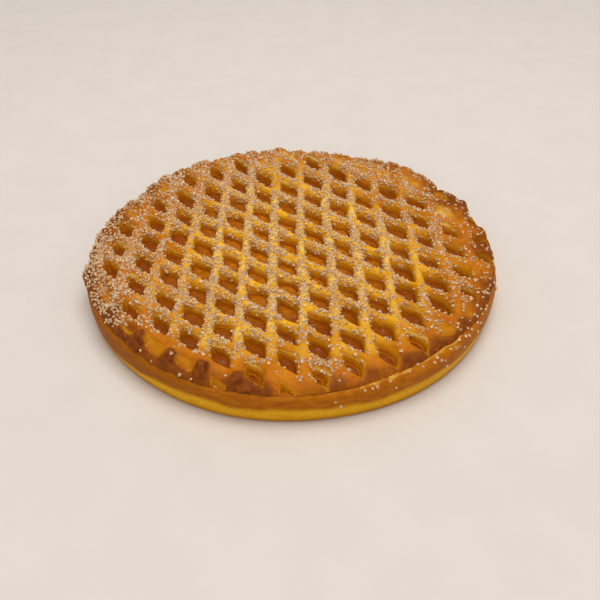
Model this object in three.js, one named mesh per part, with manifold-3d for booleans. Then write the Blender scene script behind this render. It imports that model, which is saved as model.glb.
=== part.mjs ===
// Round fruit vlaai: a shallow dish of baked dough, filled with fruit, under one sheet of
// dough cut into a leaning lattice and strewn with coarse sugar. Millimetres, +Z up.
// The origin is the centre of the flat underside, and the sugared side is the -X side.
import * as THREE from "three";
import { mergeVertices } from "three/addons/utils/BufferGeometryUtils.js";
import Module from "manifold-3d";

// Crust: the dish of base dough, with a near upright wall and a browned, rounded shoulder
const wallRadius = 142;
const wallOutOfRound = 0.009;
const wallWave = 0.5;
const seatHeight = 21;
const crustFloor = 6;
const fillingRadius = 128;
const crustSegments = 72;
const gap = 0.3;

// Filling: fruit cooked to a soft, lumpy layer
const fillingLump = 0.9;
const fillingRings = 9;
const fillingSegments = 44;

// Lattice: holes at whole numbers of column and row, strands of dough half-way between
const columnPitch = 19.65;
const middleColumnX = -2.9;
const columnLean = 0.016;
const frontRowY = -142.7;
const rowPitch = 22.8;
const rowStretch = 0.0148;
const rowStart = 0.205;
const rowDrop = 0.5685;
const rowDropEase = 0.0058;
const latticeWarp = 1.1;
const warpSize = 27;
const cellReach = 11;
const uncutRadius = 165;
const holeHalfWidth = 0.27;
const holeHalfLength = 0.285;
const holeWidthUneven = 0.14;
const holeLengthUneven = 0.17;
const holeWedge = 0.2;
const holeShift = -0.035;
const holeSquareness = 3.8;
const holeRim = 1.2;
const holeFullRadius = 116;
const holeLastRadius = 123.5;
const holeLastFrontRadius = 129;
const holeLastSize = 0.66;
const holeUneven = 0.1;
const holeMargin = 6;
const lipMargin = 4.5;
const holeShrink = 0.93;
const holeSmallestShare = 0.55;
const crossingShift = 0.045;
const middleRow = 5.7;

// Heights of the sheet's upper side, and how far the dough falls toward each hole
const sheetTop = 26.8;
const rimRise = 1.1;
const rimRiseFrom = 90;
const rimRiseTo = 130;
const backRise = 3.4;
const backRiseFrom = 50;
const backRiseTo = 145;
const flapRise = 2;
const flapRiseFrom = 114;
const flapRiseTo = 134;
const flapRiseAngle = 50;
const flapRiseSpread = 11;
const strandRound = 2;
const dimpleDepth = 2.4;
const dimpleFrontDepth = 1.4;
const crossingPuff = 0.22;
const unevenPuff = 0.33;

// Outline of the sheet: it ends short of the wall at the front and covers it at the back
const sheetSetBack = 0.9;
const sheetFrontSetBack = 2.4;
const sheetBackSwell = 1.5;
const sheetFrontFall = 0.66;
const edgeWave = 0.9;
const sheetSegments = 132;
const flaps = [
  { angle: 24, after: 5, before: 3, out: 4.5 },
  { angle: 33, after: 4, before: 4, out: -1.5 },
  { angle: 41, after: 16, before: 2.5, out: 5.5 },
  { angle: 95, after: 5, before: 2, out: 4 },
  { angle: 153, after: 13, before: 13, out: -5.5 },
  { angle: 192.5, after: 8, before: 3.5, out: 3.5 },
  { angle: -54, after: 13, before: 20, out: -3 },
];

// Knobs: strands that end at the front left and at the back swell to a browned lump there,
// from the first to the last half column, or half row on the left
const knobInset = 3.4;
const knobFrontInset = 6.4;
const knobLong = 5.5;
const knobWide = 4.4;
const knobHigh = 3.1;
const knobUneven = 0.18;
const knobCentre = 25;
const knobBackLift = 2;
const frontStrands = [-5.5, -1.5];
const backStrands = [-5.5, 3.5];
const leftStrands = [0.5, 3.5];
const strandStep = 0.02;

// Sugar: coarse crystals, thick on the left and thin on the right, none on the front edge
const crystalCount = 110;
const crystalSmall = 1.5;
const crystalLarge = 1.9;
const crystalSpacing = 6.5;
const crystalLift = 0.22;
const crystalTries = 20000;
const steepestSugar = 0.8;
const sugarThinning = 0.75;
const sugarRadius = 136;
const sugarFrontRadius = 121;
const randomSeed = 20;

const crustMaterial = new THREE.MeshStandardMaterial({ color: 0xb97726, roughness: 0.55, metalness: 0 });
const fillingMaterial = new THREE.MeshStandardMaterial({ color: 0x9c4a0a, roughness: 0.25, metalness: 0 });
const latticeMaterial = new THREE.MeshStandardMaterial({ color: 0xcf913a, roughness: 0.5, metalness: 0 });

const wasm = await Module();
wasm.setup();

const { euclideanModulo, lerp, radToDeg, seededRandom, smoothstep } = THREE.MathUtils;

// A fixed number from -1 to 1 for each pair of whole or half numbers
function wobble(a, b, salt) {
  const spun = Math.sin(a * 12.9898 + b * 78.233 + salt * 37.719) * 43758.5453;
  return 2 * (spun - Math.floor(spun)) - 1;
}

// Smooth random relief from -1 to 1, with lumps of about that size
function lumps(x, y, size, salt) {
  const column = Math.floor(x / size);
  const row = Math.floor(y / size);
  const across = smoothstep(x / size - column, 0, 1);
  const along = smoothstep(y / size - row, 0, 1);
  const near = lerp(wobble(column, row, salt), wobble(column + 1, row, salt), across);
  const far = lerp(wobble(column, row + 1, salt), wobble(column + 1, row + 1, salt), across);
  return lerp(near, far, along);
}

// Slow waves over the whole pie, from -1 to 1
function swell(x, y) {
  return (Math.sin(x * 0.041 + 1.3) + Math.sin(y * 0.053 - x * 0.022) + Math.sin(y * 0.029 + 2.1)) / 3;
}

// A point is at the front when this is 1, at the back when it is 0
function frontness(x, y) {
  const angle = Math.atan2(y, x);
  return 1 - smoothstep(Math.sin(angle), -0.45, 0.1);
}

function solidOf(geometry) {
  geometry.deleteAttribute("normal");
  geometry.deleteAttribute("uv");
  const merged = mergeVertices(geometry, 0.001);
  const vertProperties = new Float32Array(merged.attributes.position.array);
  const triVerts = new Uint32Array(merged.index.array);
  return new wasm.Manifold(new wasm.Mesh({ numProp: 3, vertProperties, triVerts }));
}

function meshOf(solid, name, material) {
  const { vertProperties, triVerts } = solid.getMesh();
  const geometry = new THREE.BufferGeometry();
  geometry.setAttribute("position", new THREE.BufferAttribute(vertProperties, 3));
  geometry.setIndex(new THREE.BufferAttribute(triVerts, 1));
  geometry.computeVertexNormals();
  const mesh = new THREE.Mesh(geometry, material);
  mesh.name = name;
  return mesh;
}

// Turn a profile of [radius, height] points about Z, then move each vertex by shape(point)
function turned(profile, segments, shape) {
  const points = profile.map(([radius, height]) => new THREE.Vector2(radius, height));
  const geometry = new THREE.LatheGeometry(points, segments);
  geometry.rotateX(Math.PI / 2);
  const position = geometry.attributes.position;
  const point = new THREE.Vector3();
  for (let i = 0; i < position.count; i++) {
    point.fromBufferAttribute(position, i);
    shape(point);
    position.setXYZ(i, point.x, point.y, point.z);
  }
  return solidOf(geometry);
}

// Radius of the wall at an angle: the pie is a little wider than it is deep, and wavy
function outerRadius(angle) {
  const wave = Math.sin(angle * 3 + 0.6) + 0.7 * Math.sin(angle * 7 + 2);
  return wallRadius * (1 + wallOutOfRound * Math.cos(2 * angle)) + wallWave * wave;
}

function crust() {
  const inner = fillingRadius + gap / 2;
  const top = seatHeight - gap / 2;
  const profile = [
    [0, 0],
    [wallRadius - 3.5, 0],
    [wallRadius - 1.8, 1.2],
    [wallRadius - 0.9, 5],
    [wallRadius, 11],
    [wallRadius + 0.1, 15.5],
    [wallRadius - 0.6, 18.8],
    [wallRadius - 2.2, top],
    [inner, top],
    [inner, crustFloor],
    [0, crustFloor],
  ];
  return turned(profile, crustSegments, (point) => {
    const radius = Math.hypot(point.x, point.y);
    if (radius < inner + 1) return;
    const stretch = outerRadius(Math.atan2(point.y, point.x)) / wallRadius;
    point.x *= stretch;
    point.y *= stretch;
  });
}

function fillingHeight(x, y) {
  const across = Math.sin(x * 0.31 + 2.2 * Math.sin(y * 0.11));
  const along = Math.sin(y * 0.37 + 1.7 * Math.sin(x * 0.09));
  return seatHeight - gap / 2 - fillingLump * (0.5 + 0.5 * across * along);
}

function filling() {
  const radius = fillingRadius - gap / 2;
  const bottom = crustFloor + gap;
  const profile = [[0, bottom], [radius, bottom], [radius, seatHeight]];
  for (let ring = fillingRings - 1; ring >= 0; ring--) {
    profile.push([(radius * ring) / fillingRings, seatHeight]);
  }
  return turned(profile, fillingSegments, (point) => {
    if (point.z > crustFloor + 1) point.z = fillingHeight(point.x, point.y);
  });
}

// Place of a column and row of the lattice on the pie
function latticePoint(column, row) {
  const step = row + rowStart - rowDrop * column + rowDropEase * column * column;
  const y = frontRowY + rowPitch * step + rowStretch * step ** 3;
  const x = middleColumnX + columnPitch * column - columnLean * y;
  return {
    x: x + latticeWarp * lumps(x, y, warpSize, 17),
    y: y + latticeWarp * lumps(x, y, warpSize, 18),
  };
}

// Height of the sheet's upper side without its puffs: it rises at the rim, the back and one flap
function sheetHeight(x, y) {
  const radius = Math.hypot(x, y);
  const overRim = rimRise * smoothstep(radius, rimRiseFrom, rimRiseTo);
  const overBack = backRise * smoothstep(y, backRiseFrom, backRiseTo);
  const turn = (radToDeg(Math.atan2(y, x)) - flapRiseAngle) / flapRiseSpread;
  const overFlap = flapRise * Math.exp(-(turn ** 2)) * smoothstep(radius, flapRiseFrom, flapRiseTo);
  return sheetTop + overRim + overBack + overFlap + 0.5 * swell(x, y);
}

// Radius within which a hole stays open, in the direction of a point
function lastHoleRadius(x, y) {
  return lerp(holeLastRadius, holeLastFrontRadius, frontness(x, y));
}

// Size of a hole against a full one: it shrinks toward the rim and is closed beyond it
function holeSize(column, row) {
  const { x, y } = latticePoint(column, row);
  const radius = Math.hypot(x, y);
  const last = lastHoleRadius(x, y);
  if (radius > last) return 0;
  const uneven = 1 + holeUneven * wobble(column, row, 5);
  return uneven * lerp(1, holeLastSize, smoothstep(radius, holeFullRadius, last));
}

// Where the strands cross, and half-way between crossings, the dough stands highest
function crest(column, row) {
  const shiftedColumn = column + crossingShift * wobble(column, row, 1);
  const shiftedRow = row + crossingShift * wobble(column, row, 2);
  const { x, y } = latticePoint(shiftedColumn, shiftedRow);
  const crossing = !Number.isInteger(column) && !Number.isInteger(row);
  const puff = (crossing ? crossingPuff : 0) + unevenPuff * wobble(column, row, 3);
  return [x, y, sheetHeight(x, y) + puff];
}

// The eight directions round a cell: its corners and the middles of its sides
const around = [[1, 0], [1, 1], [0, 1], [-1, 1], [-1, 0], [-1, -1], [0, -1], [1, -1]];

// Share of the way from a hole's centre that keeps a point of it clear of the sheet's outline
function clearShare(column, row, across, along, margin) {
  let share = 1;
  while (share > holeSmallestShare) {
    const { x, y } = latticePoint(column + across * share, row + along * share);
    if (Math.hypot(x, y) < sheetRadius(Math.atan2(y, x)) - margin) break;
    share *= holeShrink;
  }
  return share;
}

// Ring of eight points on a hole's outline, a rounded square in columns and rows that widens
// to the right
function holeRing(column, row, size, margin, height) {
  const width = holeHalfWidth * (1 + holeWidthUneven * wobble(column, row, 8));
  const length = holeHalfLength * (1 + holeLengthUneven * wobble(column, row, 9));
  return around.map(([across, along]) => {
    const round = across && along ? 2 ** (-1 / holeSquareness) : 1;
    const aside = across * width * round * size;
    const ahead = holeShift + along * length * round * size * (1 + holeWedge * across);
    const share = clearShare(column, row, aside, ahead, margin);
    const { x, y } = latticePoint(column + aside * share, row + ahead * share);
    return [x, y, height(x, y)];
  });
}

// Cells of the lattice, as [column, row], well past the edge that the sheet is cut to
function latticeCells() {
  const cells = [];
  for (let column = -cellReach; column <= cellReach; column++) {
    for (let row = -cellReach; row <= 2 * cellReach; row++) {
      const { x, y } = latticePoint(column, row);
      if (Math.hypot(x, y) < uncutRadius) cells.push([column, row]);
    }
  }
  return cells;
}

// The sheet before its edge is cut: one block of dough for each cell, all sharing corners
function uncutSheet() {
  const positions = [];
  const faces = [];
  const bottom = seatHeight + gap / 2;
  const cells = latticeCells();
  const taken = new Set(cells.map(String));
  const add = (points) => points.map((point) => positions.push(...point) / 3 - 1);
  const band = (outer, inner) => {
    outer.forEach((point, i) => {
      const next = (i + 1) % outer.length;
      faces.push(point, outer[next], inner[next], point, inner[next], inner[i]);
    });
  };
  for (const [column, row] of cells) {
    const edges = around.map(([across, along]) => crest(column + across / 2, row + along / 2));
    const upper = add(edges);
    const lower = add(edges.map(([x, y]) => [x, y, bottom]));
    const size = holeSize(column, row);
    if (size > 0) {
      const rounded = (x, y) => sheetHeight(x, y) - strandRound;
      const lip = add(holeRing(column, row, size * holeRim, lipMargin, rounded));
      const foot = add(holeRing(column, row, size, holeMargin, () => bottom));
      band(upper, lip);
      band(lip, foot);
      band(foot, lower);
    } else {
      const { x, y } = latticePoint(column, row);
      const depth = lerp(dimpleDepth, dimpleFrontDepth, frontness(x, y));
      const dimple = add([[x, y, sheetHeight(x, y) - depth]])[0];
      const under = add([[x, y, bottom]])[0];
      band(upper, upper.map(() => dimple));
      band(upper.map(() => under), lower);
    }
    for (const [across, along] of [[1, 0], [0, 1], [-1, 0], [0, -1]]) {
      if (taken.has(String([column + across, row + along]))) continue;
      const middle = around.findIndex(([a, b]) => a === across && b === along);
      for (const i of [(middle + 7) % 8, middle]) {
        const next = (i + 1) % 8;
        faces.push(lower[i], lower[next], upper[next], lower[i], upper[next], upper[i]);
      }
    }
  }
  const geometry = new THREE.BufferGeometry();
  geometry.setAttribute("position", new THREE.Float32BufferAttribute(positions, 3));
  geometry.setIndex(faces);
  return solidOf(geometry);
}

// Outline of the sheet, with flaps where the dough hangs over the wall or falls short of it.
// Each flap fades out over one angle after its middle and over another before it.
function sheetRadius(angle) {
  const front = frontness(Math.cos(angle), Math.sin(angle));
  let radius = outerRadius(angle) - lerp(sheetSetBack, sheetFrontSetBack, front);
  for (const flap of flaps) {
    const turn = euclideanModulo(radToDeg(angle) - flap.angle + 180, 360) - 180;
    const spread = turn > 0 ? flap.after : flap.before;
    radius += flap.out * Math.exp(-((turn / spread) ** 2));
  }
  return radius + edgeWave * (1 - 0.6 * front) * Math.sin(angle * 41 + 2 * Math.sin(angle * 5));
}

// A rounded disc that the sheet is cut to
function edgeCutter() {
  const profile = [
    [0, seatHeight - 1],
    [wallRadius - 1, seatHeight - 1],
    [wallRadius - 0.6, seatHeight],
    [wallRadius, seatHeight + 2.4],
    [wallRadius - 0.9, seatHeight + 4.6],
    [wallRadius - 3.2, seatHeight + 6.4],
    [wallRadius - 8, seatHeight + 8.9],
    [wallRadius - 12, seatHeight + 16],
    [0, seatHeight + 16],
  ];
  return turned(profile, sheetSegments, (point) => {
    const radius = Math.hypot(point.x, point.y);
    if (radius > 1) {
      const moved = 1 + (sheetRadius(Math.atan2(point.y, point.x)) - wallRadius) / radius;
      point.x *= moved;
      point.y *= moved;
    }
    const lift = lerp(sheetBackSwell, sheetFrontFall, frontness(point.x, point.y));
    if (point.z > seatHeight) point.z = seatHeight + (point.z - seatHeight) * lift;
  });
}

// Where a strand comes to the rim; at(t) is its place, starting inside the rim at 0
function strandEnd(at) {
  let t = 0;
  let end = at(t);
  const room = () => {
    const inset = lerp(knobInset, knobFrontInset, frontness(end.x, end.y));
    return sheetRadius(Math.atan2(end.y, end.x)) - inset - Math.hypot(end.x, end.y);
  };
  while (room() > 0) {
    t += strandStep;
    end = at(t);
  }
  return end;
}

function strandEnds() {
  const ends = [];
  for (let column = frontStrands[0]; column <= frontStrands[1]; column++) {
    ends.push(strandEnd((t) => latticePoint(column, middleRow + rowDrop * column - t)));
  }
  for (let column = backStrands[0]; column <= backStrands[1]; column++) {
    ends.push(strandEnd((t) => latticePoint(column, middleRow + rowDrop * column + t)));
  }
  for (let row = leftStrands[0]; row <= leftStrands[1]; row++) {
    ends.push(strandEnd((t) => latticePoint(-t, row)));
  }
  return ends;
}

function knob({ x, y }, index) {
  const geometry = new THREE.SphereGeometry(1, 6, 3);
  const size = 1 + knobUneven * wobble(index, 1, 7);
  geometry.rotateX(Math.PI / 2);
  geometry.scale(knobLong * size, knobWide * size, knobHigh * size);
  geometry.rotateZ(Math.atan2(y, x));
  geometry.translate(x, y, knobCentre + knobBackLift * (1 - frontness(x, y)));
  return solidOf(geometry);
}

// Share of the crystals that stay, from none at 0 to all at 1
function sugarShare(x, y) {
  const last = lerp(sugarRadius, sugarFrontRadius, frontness(x, y));
  if (Math.hypot(x, y) > last) return 0;
  return 1 - sugarThinning * smoothstep(x - 0.35 * y, -20, 110);
}

function crystalPlaces(sheet) {
  const target = new THREE.Mesh(sheet.geometry);
  const ray = new THREE.Raycaster();
  const down = new THREE.Vector3(0, 0, -1);
  const places = [];
  seededRandom(randomSeed);
  for (let attempt = 0; attempt < crystalTries && places.length < crystalCount; attempt++) {
    const x = sugarRadius * (2 * seededRandom() - 1);
    const y = sugarRadius * (2 * seededRandom() - 1);
    const chance = seededRandom();
    if (chance > sugarShare(x, y)) continue;
    if (places.some(({ point }) => Math.hypot(point.x - x, point.y - y) < crystalSpacing)) continue;
    ray.set(new THREE.Vector3(x, y, 3 * seatHeight), down);
    const [hit] = ray.intersectObject(target);
    if (!hit || hit.face.normal.z < steepestSugar) continue;
    if (hit.point.z < sheetHeight(x, y) - strandRound) continue;
    places.push({ point: hit.point, normal: hit.face.normal });
  }
  return places;
}

function crystal({ point, normal }) {
  const size = lerp(crystalSmall, crystalLarge, seededRandom());
  const geometry = new THREE.BoxGeometry(size, size * 0.85, size * 0.75);
  geometry.rotateX(seededRandom() * 0.9);
  geometry.rotateZ(seededRandom() * Math.PI);
  const centre = point.clone().addScaledVector(normal, size * crystalLift);
  geometry.translate(centre.x, centre.y, centre.z);
  return solidOf(geometry);
}

function lattice() {
  const sheet = uncutSheet().intersect(edgeCutter());
  const dough = wasm.Manifold.union([sheet, ...strandEnds().map(knob)]);
  const places = crystalPlaces(meshOf(dough, "dough", latticeMaterial));
  return wasm.Manifold.union([dough, ...places.map(crystal)]);
}

const group = new THREE.Group();
group.add(
  meshOf(crust(), "crust", crustMaterial),
  meshOf(filling(), "filling", fillingMaterial),
  meshOf(lattice(), "lattice_top", latticeMaterial),
);

export default group;
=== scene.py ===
import math
from functools import partial

import bmesh
import bpy
import numpy as np
from mathutils import Euler, Matrix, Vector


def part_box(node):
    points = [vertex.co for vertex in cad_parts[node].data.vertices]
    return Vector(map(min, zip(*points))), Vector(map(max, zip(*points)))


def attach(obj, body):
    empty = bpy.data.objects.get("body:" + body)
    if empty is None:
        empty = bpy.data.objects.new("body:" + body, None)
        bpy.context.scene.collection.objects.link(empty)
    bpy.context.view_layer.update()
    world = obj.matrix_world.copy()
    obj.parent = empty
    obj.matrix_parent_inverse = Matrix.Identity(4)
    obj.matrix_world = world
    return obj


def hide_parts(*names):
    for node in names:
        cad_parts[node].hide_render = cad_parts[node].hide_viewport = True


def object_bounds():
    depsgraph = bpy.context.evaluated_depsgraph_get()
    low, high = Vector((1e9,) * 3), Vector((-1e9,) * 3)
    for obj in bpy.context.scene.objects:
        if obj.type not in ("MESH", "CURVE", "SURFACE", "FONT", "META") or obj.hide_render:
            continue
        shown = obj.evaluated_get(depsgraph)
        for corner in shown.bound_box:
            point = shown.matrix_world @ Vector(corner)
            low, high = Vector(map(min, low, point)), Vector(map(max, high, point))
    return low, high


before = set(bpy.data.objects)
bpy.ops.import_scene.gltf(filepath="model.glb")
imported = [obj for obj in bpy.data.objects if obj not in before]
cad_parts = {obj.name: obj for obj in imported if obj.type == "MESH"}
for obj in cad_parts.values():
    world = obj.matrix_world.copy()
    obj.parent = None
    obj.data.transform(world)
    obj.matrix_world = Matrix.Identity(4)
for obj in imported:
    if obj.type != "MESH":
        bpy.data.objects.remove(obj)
cad_low, cad_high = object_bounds()

# Crust: a shallow dish of yeast dough, pressed into a round tin by hand. Its wall baked pale
# gold against the tin, and its free shoulder swelled over the edge of the tin and browned.
# Shapes are worked out in millimetres from the centre of the pie, with +Y to its back.
mm_per_metre = 1000
_, crust_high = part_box("crust")
seat_height = mm_per_metre * crust_high.z
wall_radius = 142.0
wall_out_of_round = 0.009
wall_wave = 0.5
wall_inset = 0.45
# The wall and shoulder in section: how far out from the wall's radius, and how high.
wall_line = [
    (-3.5, 0),
    (-1.8, 1.2),
    (-0.9, 5),
    (0, 11),
    (0.1, 15.5),
    (-0.6, 18.8),
    (-2.2, 20.5),
    (-4.5, 20.85),
]
wall_steps = 6
# Heights and sizes of the lumps on the wall.
wall_swellings = [(0.35, 23), (0.2, 7)]
crust_floor = 6.0
crust_inner = 127.7
crust_segments = 480
crease_height = 13
crease_length = 31
crease_waver = 0.9
crease_depth = 0.3
crease_width = 0.8
wrinkle_depth = 0.3
wrinkle_width = 3
wrinkle_stretch = 4
seat_dip = 0.35
seat_dip_size = 5
shoulder_rise = 2.0
shoulder_unevenness = 0.3
shoulder_lump_size = 9
shoulder_angle = -48
shoulder_spread = 24
brown_from = 8.5
brown_to = 13.5
weld_distance = 1e-6
scramble_first = 12.9898
scramble_second = 78.233
scramble_salt = 37.719
scramble_gain = 43758.5453


def lerp(low, high, share):
    """The number at a share of the way from low to high."""
    return low + (high - low) * share


def smoothstep(value, low, high):
    """0 up to low, 1 from high, smooth between."""
    share = np.clip((value - low) / (high - low), 0, 1)
    return share * share * (3 - 2 * share)


def bell(distance, width, power=2):
    """1 in the middle and 0 far from it. The higher the power, the flatter the top."""
    return np.exp(-((distance / width) ** power))


def wobble(a, b, salt):
    """A number from -1 to 1 that looks random but is always the same for the same numbers."""
    spun = np.sin(a * scramble_first + b * scramble_second + salt * scramble_salt) * scramble_gain
    return 2 * (spun - np.floor(spun)) - 1


def lumps(x, y, size, salt):
    """Smooth random relief from -1 to 1, with lumps of about that size."""
    column = np.floor(x / size)
    row = np.floor(y / size)
    across = smoothstep(x / size - column, 0, 1)
    along = smoothstep(y / size - row, 0, 1)
    near = lerp(wobble(column, row, salt), wobble(column + 1, row, salt), across)
    far = lerp(wobble(column, row + 1, salt), wobble(column + 1, row + 1, salt), across)
    return lerp(near, far, along)


def layered(x, y, layers, salt):
    """A sum of lumps, from their heights and sizes."""
    return sum(height * lumps(x, y, size, salt + index) for index, (height, size) in enumerate(layers))


def spline(points, steps):
    """A smooth line through points, with that many steps between two of them."""
    points = np.array(points, float)
    ends = np.vstack([2 * points[0] - points[1], points, 2 * points[-1] - points[-2]])
    line = []
    for before, start, end, after in zip(ends, ends[1:], ends[2:], ends[3:]):
        for share in np.linspace(0, 1, steps, endpoint=False):
            bend = 2 * before - 5 * start + 4 * end - after
            twist = 3 * start - before - 3 * end + after
            line.append(start + 0.5 * share * (end - before + share * (bend + share * twist)))
    return np.vstack([line, points[-1:]])


def turned(profile, segments):
    """Points and faces of a profile of (radius, height), from the axis to the axis, turned about Z."""
    turn = np.linspace(0, 2 * np.pi, segments, endpoint=False)
    rings = [
        np.column_stack([radius * np.cos(turn), radius * np.sin(turn), np.full(segments, height)])
        for radius, height in profile[1:-1]
    ]
    points = np.vstack([[[0, 0, profile[0][1]]], *rings, [[0, 0, profile[-1][1]]]])
    here = np.arange(segments)
    beside = np.roll(here, -1)
    faces = [(0, 1 + b, 1 + a) for a, b in zip(here, beside)]
    for ring in range(len(rings) - 1):
        low = 1 + ring * segments
        high = low + segments
        faces += zip(low + here, low + beside, high + beside, high + here)
    last = len(points) - 1
    faces += [(last - segments + a, last - segments + b, last) for a, b in zip(here, beside)]
    return points, faces


def outer_radius(angle):
    """Radius of the crust's wall: the pie is a little wider than it is deep, and wavy."""
    wave = np.sin(angle * 3 + 0.6) + 0.7 * np.sin(angle * 7 + 2)
    return wall_radius * (1 + wall_out_of_round * np.cos(2 * angle)) + wall_wave * wave


def shoulder_share(angle):
    """1 where the shoulder swelled most, at the front right, and 0 away from there."""
    return bell(np.degrees(angle) - shoulder_angle, shoulder_spread)


def crust_shape():
    """The dish, turned from its profile and then made uneven as hand-pressed dough is."""
    wall = spline(wall_line, wall_steps)
    wall[:, 0] += wall_radius
    profile = [(0, 0), *wall, (crust_inner, seat_height), (crust_inner, crust_floor), (0, crust_floor)]
    points, faces = turned(profile, crust_segments)
    x, y, z = points.T
    radius = np.hypot(x, y)
    angle = np.arctan2(y, x)
    arc = angle * wall_radius
    swelling = layered(arc, 3 * z, wall_swellings, salt=11)
    crease_line = crease_height + crease_waver * lumps(arc, 0, crease_length, salt=13)
    crease = crease_depth * bell(z - crease_line, crease_width)
    wrinkle = wrinkle_depth * lumps(arc / wrinkle_stretch, 2.4 * z, wrinkle_width, salt=14)
    wrinkle *= smoothstep(z, 12, 16)
    on_wall = smoothstep(radius, crust_inner + 1, wall_radius - 4) * smoothstep(z, 0, 3)
    out = on_wall * (swelling + wrinkle - crease - wall_inset)
    stretch = lerp(1, outer_radius(angle) / wall_radius, smoothstep(radius, crust_inner, crust_inner + 1))
    scale = stretch * (1 + out / np.maximum(radius, 1))
    dip = seat_dip * (0.5 + 0.5 * lumps(x, y, seat_dip_size, salt=15))
    dip = dip * smoothstep(z, seat_height - 0.5, seat_height) * (1 - smoothstep(radius, 132, 136))
    rise = shoulder_rise * shoulder_share(angle) * smoothstep(radius, 131, 139) * smoothstep(z, 12, 20)
    rise *= 1 + shoulder_unevenness * lumps(arc, radius, shoulder_lump_size, salt=16)
    return np.column_stack([x * scale, y * scale, z - dip + rise]), faces


def placed(name, data):
    """A new object in the scene, made from its mesh, light or camera."""
    thing = bpy.data.objects.new(name, data)
    bpy.context.scene.collection.objects.link(thing)
    return thing


def mesh_piece(name, points, faces, material, marks=None):
    """A smooth mesh object from points in millimetres, with named values of its points."""
    mesh = bpy.data.meshes.new(name)
    mesh.from_pydata((points / mm_per_metre).tolist(), [], [[int(i) for i in face] for face in faces])
    for mark, values in (marks or {}).items():
        mesh.attributes.new(mark, "FLOAT", "POINT").data.foreach_set("value", values.astype(np.float32))
    work = bmesh.new()
    work.from_mesh(mesh)
    bmesh.ops.remove_doubles(work, verts=work.verts, dist=weld_distance)
    bmesh.ops.recalc_face_normals(work, faces=work.faces)
    work.to_mesh(mesh)
    work.free()
    mesh.shade_smooth()
    mesh.materials.append(material)
    return placed(name, mesh)


def tone(red, green, blue):
    """A colour as a screen shows it, from 0 to 255, as the linear light that a shader takes."""
    return tuple(((value / 255 + 0.055) / 1.055) ** 2.4 for value in (red, green, blue)) + (1.0,)


class Wire:
    """An output socket of a finish. Arithmetic on it adds Math nodes."""

    def __init__(self, finish, socket):
        self.finish = finish
        self.socket = socket

    def maths(self, operation, first, second):
        return self.finish.node("ShaderNodeMath", {"operation": operation}, {0: first, 1: second})

    def __add__(self, other):
        return self.maths("ADD", self, other)

    def __radd__(self, other):
        return self.maths("ADD", other, self)

    def __sub__(self, other):
        return self.maths("SUBTRACT", self, other)

    def __rsub__(self, other):
        return self.maths("SUBTRACT", other, self)

    def __mul__(self, other):
        return self.maths("MULTIPLY", self, other)

    def __rmul__(self, other):
        return self.maths("MULTIPLY", other, self)


class Finish:
    """A material with one shader, whose constants are set here and whose wires are fed later."""

    def __init__(self, name, constants):
        self.material = bpy.data.materials.new(name)
        self.material.use_nodes = True
        self.shader = self.material.node_tree.nodes["Principled BSDF"]
        for socket, value in constants.items():
            self.shader.inputs[socket].default_value = value
        place = self.node("ShaderNodeTexCoord", {}, {}, "Object")
        sockets = {0: place, "Scale": mm_per_metre}
        self.place = self.node("ShaderNodeVectorMath", {"operation": "SCALE"}, sockets)

    def node(self, kind, settings, sockets, output=0):
        """Any node: its settings first, then a value or a wire for each socket."""
        node = self.material.node_tree.nodes.new(kind)
        for name, value in settings.items():
            setattr(node, name, value)
        for key, value in sockets.items():
            self.plug(node.inputs[key], value)
        return Wire(self, node.outputs[output])

    def plug(self, socket, value):
        if isinstance(value, Wire):
            self.material.node_tree.links.new(value.socket, socket)
        else:
            socket.default_value = value

    def feed(self, **wires):
        """Links wires to the shader's sockets, whose names are written with _ for a space."""
        for name, wire in wires.items():
            self.plug(self.shader.inputs[name.replace("_", " ")], wire)

    def parts(self):
        """X, Y and Z of a place on the piece, in millimetres."""
        split = self.node("ShaderNodeSeparateXYZ", {}, {0: self.place})
        return [Wire(self, socket) for socket in split.socket.node.outputs]

    def outward(self):
        """Distance of a place from the middle of the pie's underside, in millimetres."""
        return self.node("ShaderNodeVectorMath", {"operation": "LENGTH"}, {0: self.place}, "Value")

    def mark(self, name):
        """The named value of the mesh's points."""
        return self.node("ShaderNodeAttribute", {"attribute_name": name}, {}, "Fac")

    def grain(self, size, detail=2.0, stretch=(1, 1, 1)):
        """Noise from 0 to 1 with features of about that size in millimetres."""
        place = self.node("ShaderNodeVectorMath", {"operation": "MULTIPLY"}, {0: self.place, 1: stretch})
        noise = self.node("ShaderNodeTexNoise", {}, {"Vector": place, "Scale": 1 / size, "Detail": detail})
        return self.rise(noise, 0.3, 0.7)

    def rise(self, value, low, high):
        """0 up to low, 1 from high, smooth between."""
        sockets = {"Value": value, "From Min": low, "From Max": high}
        return self.node("ShaderNodeMapRange", {"interpolation_type": "SMOOTHSTEP"}, sockets)

    def mix(self, share, first, second):
        """The first colour where share is 0, the second where it is 1."""
        return self.node("ShaderNodeMix", {"data_type": "RGBA"}, {0: share, 6: first, 7: second}, 2)

    def relief(self, height, depth):
        """A normal for fine relief of that depth in millimetres."""
        return self.node("ShaderNodeBump", {}, {"Height": height, "Distance": depth / mm_per_metre})


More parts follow.
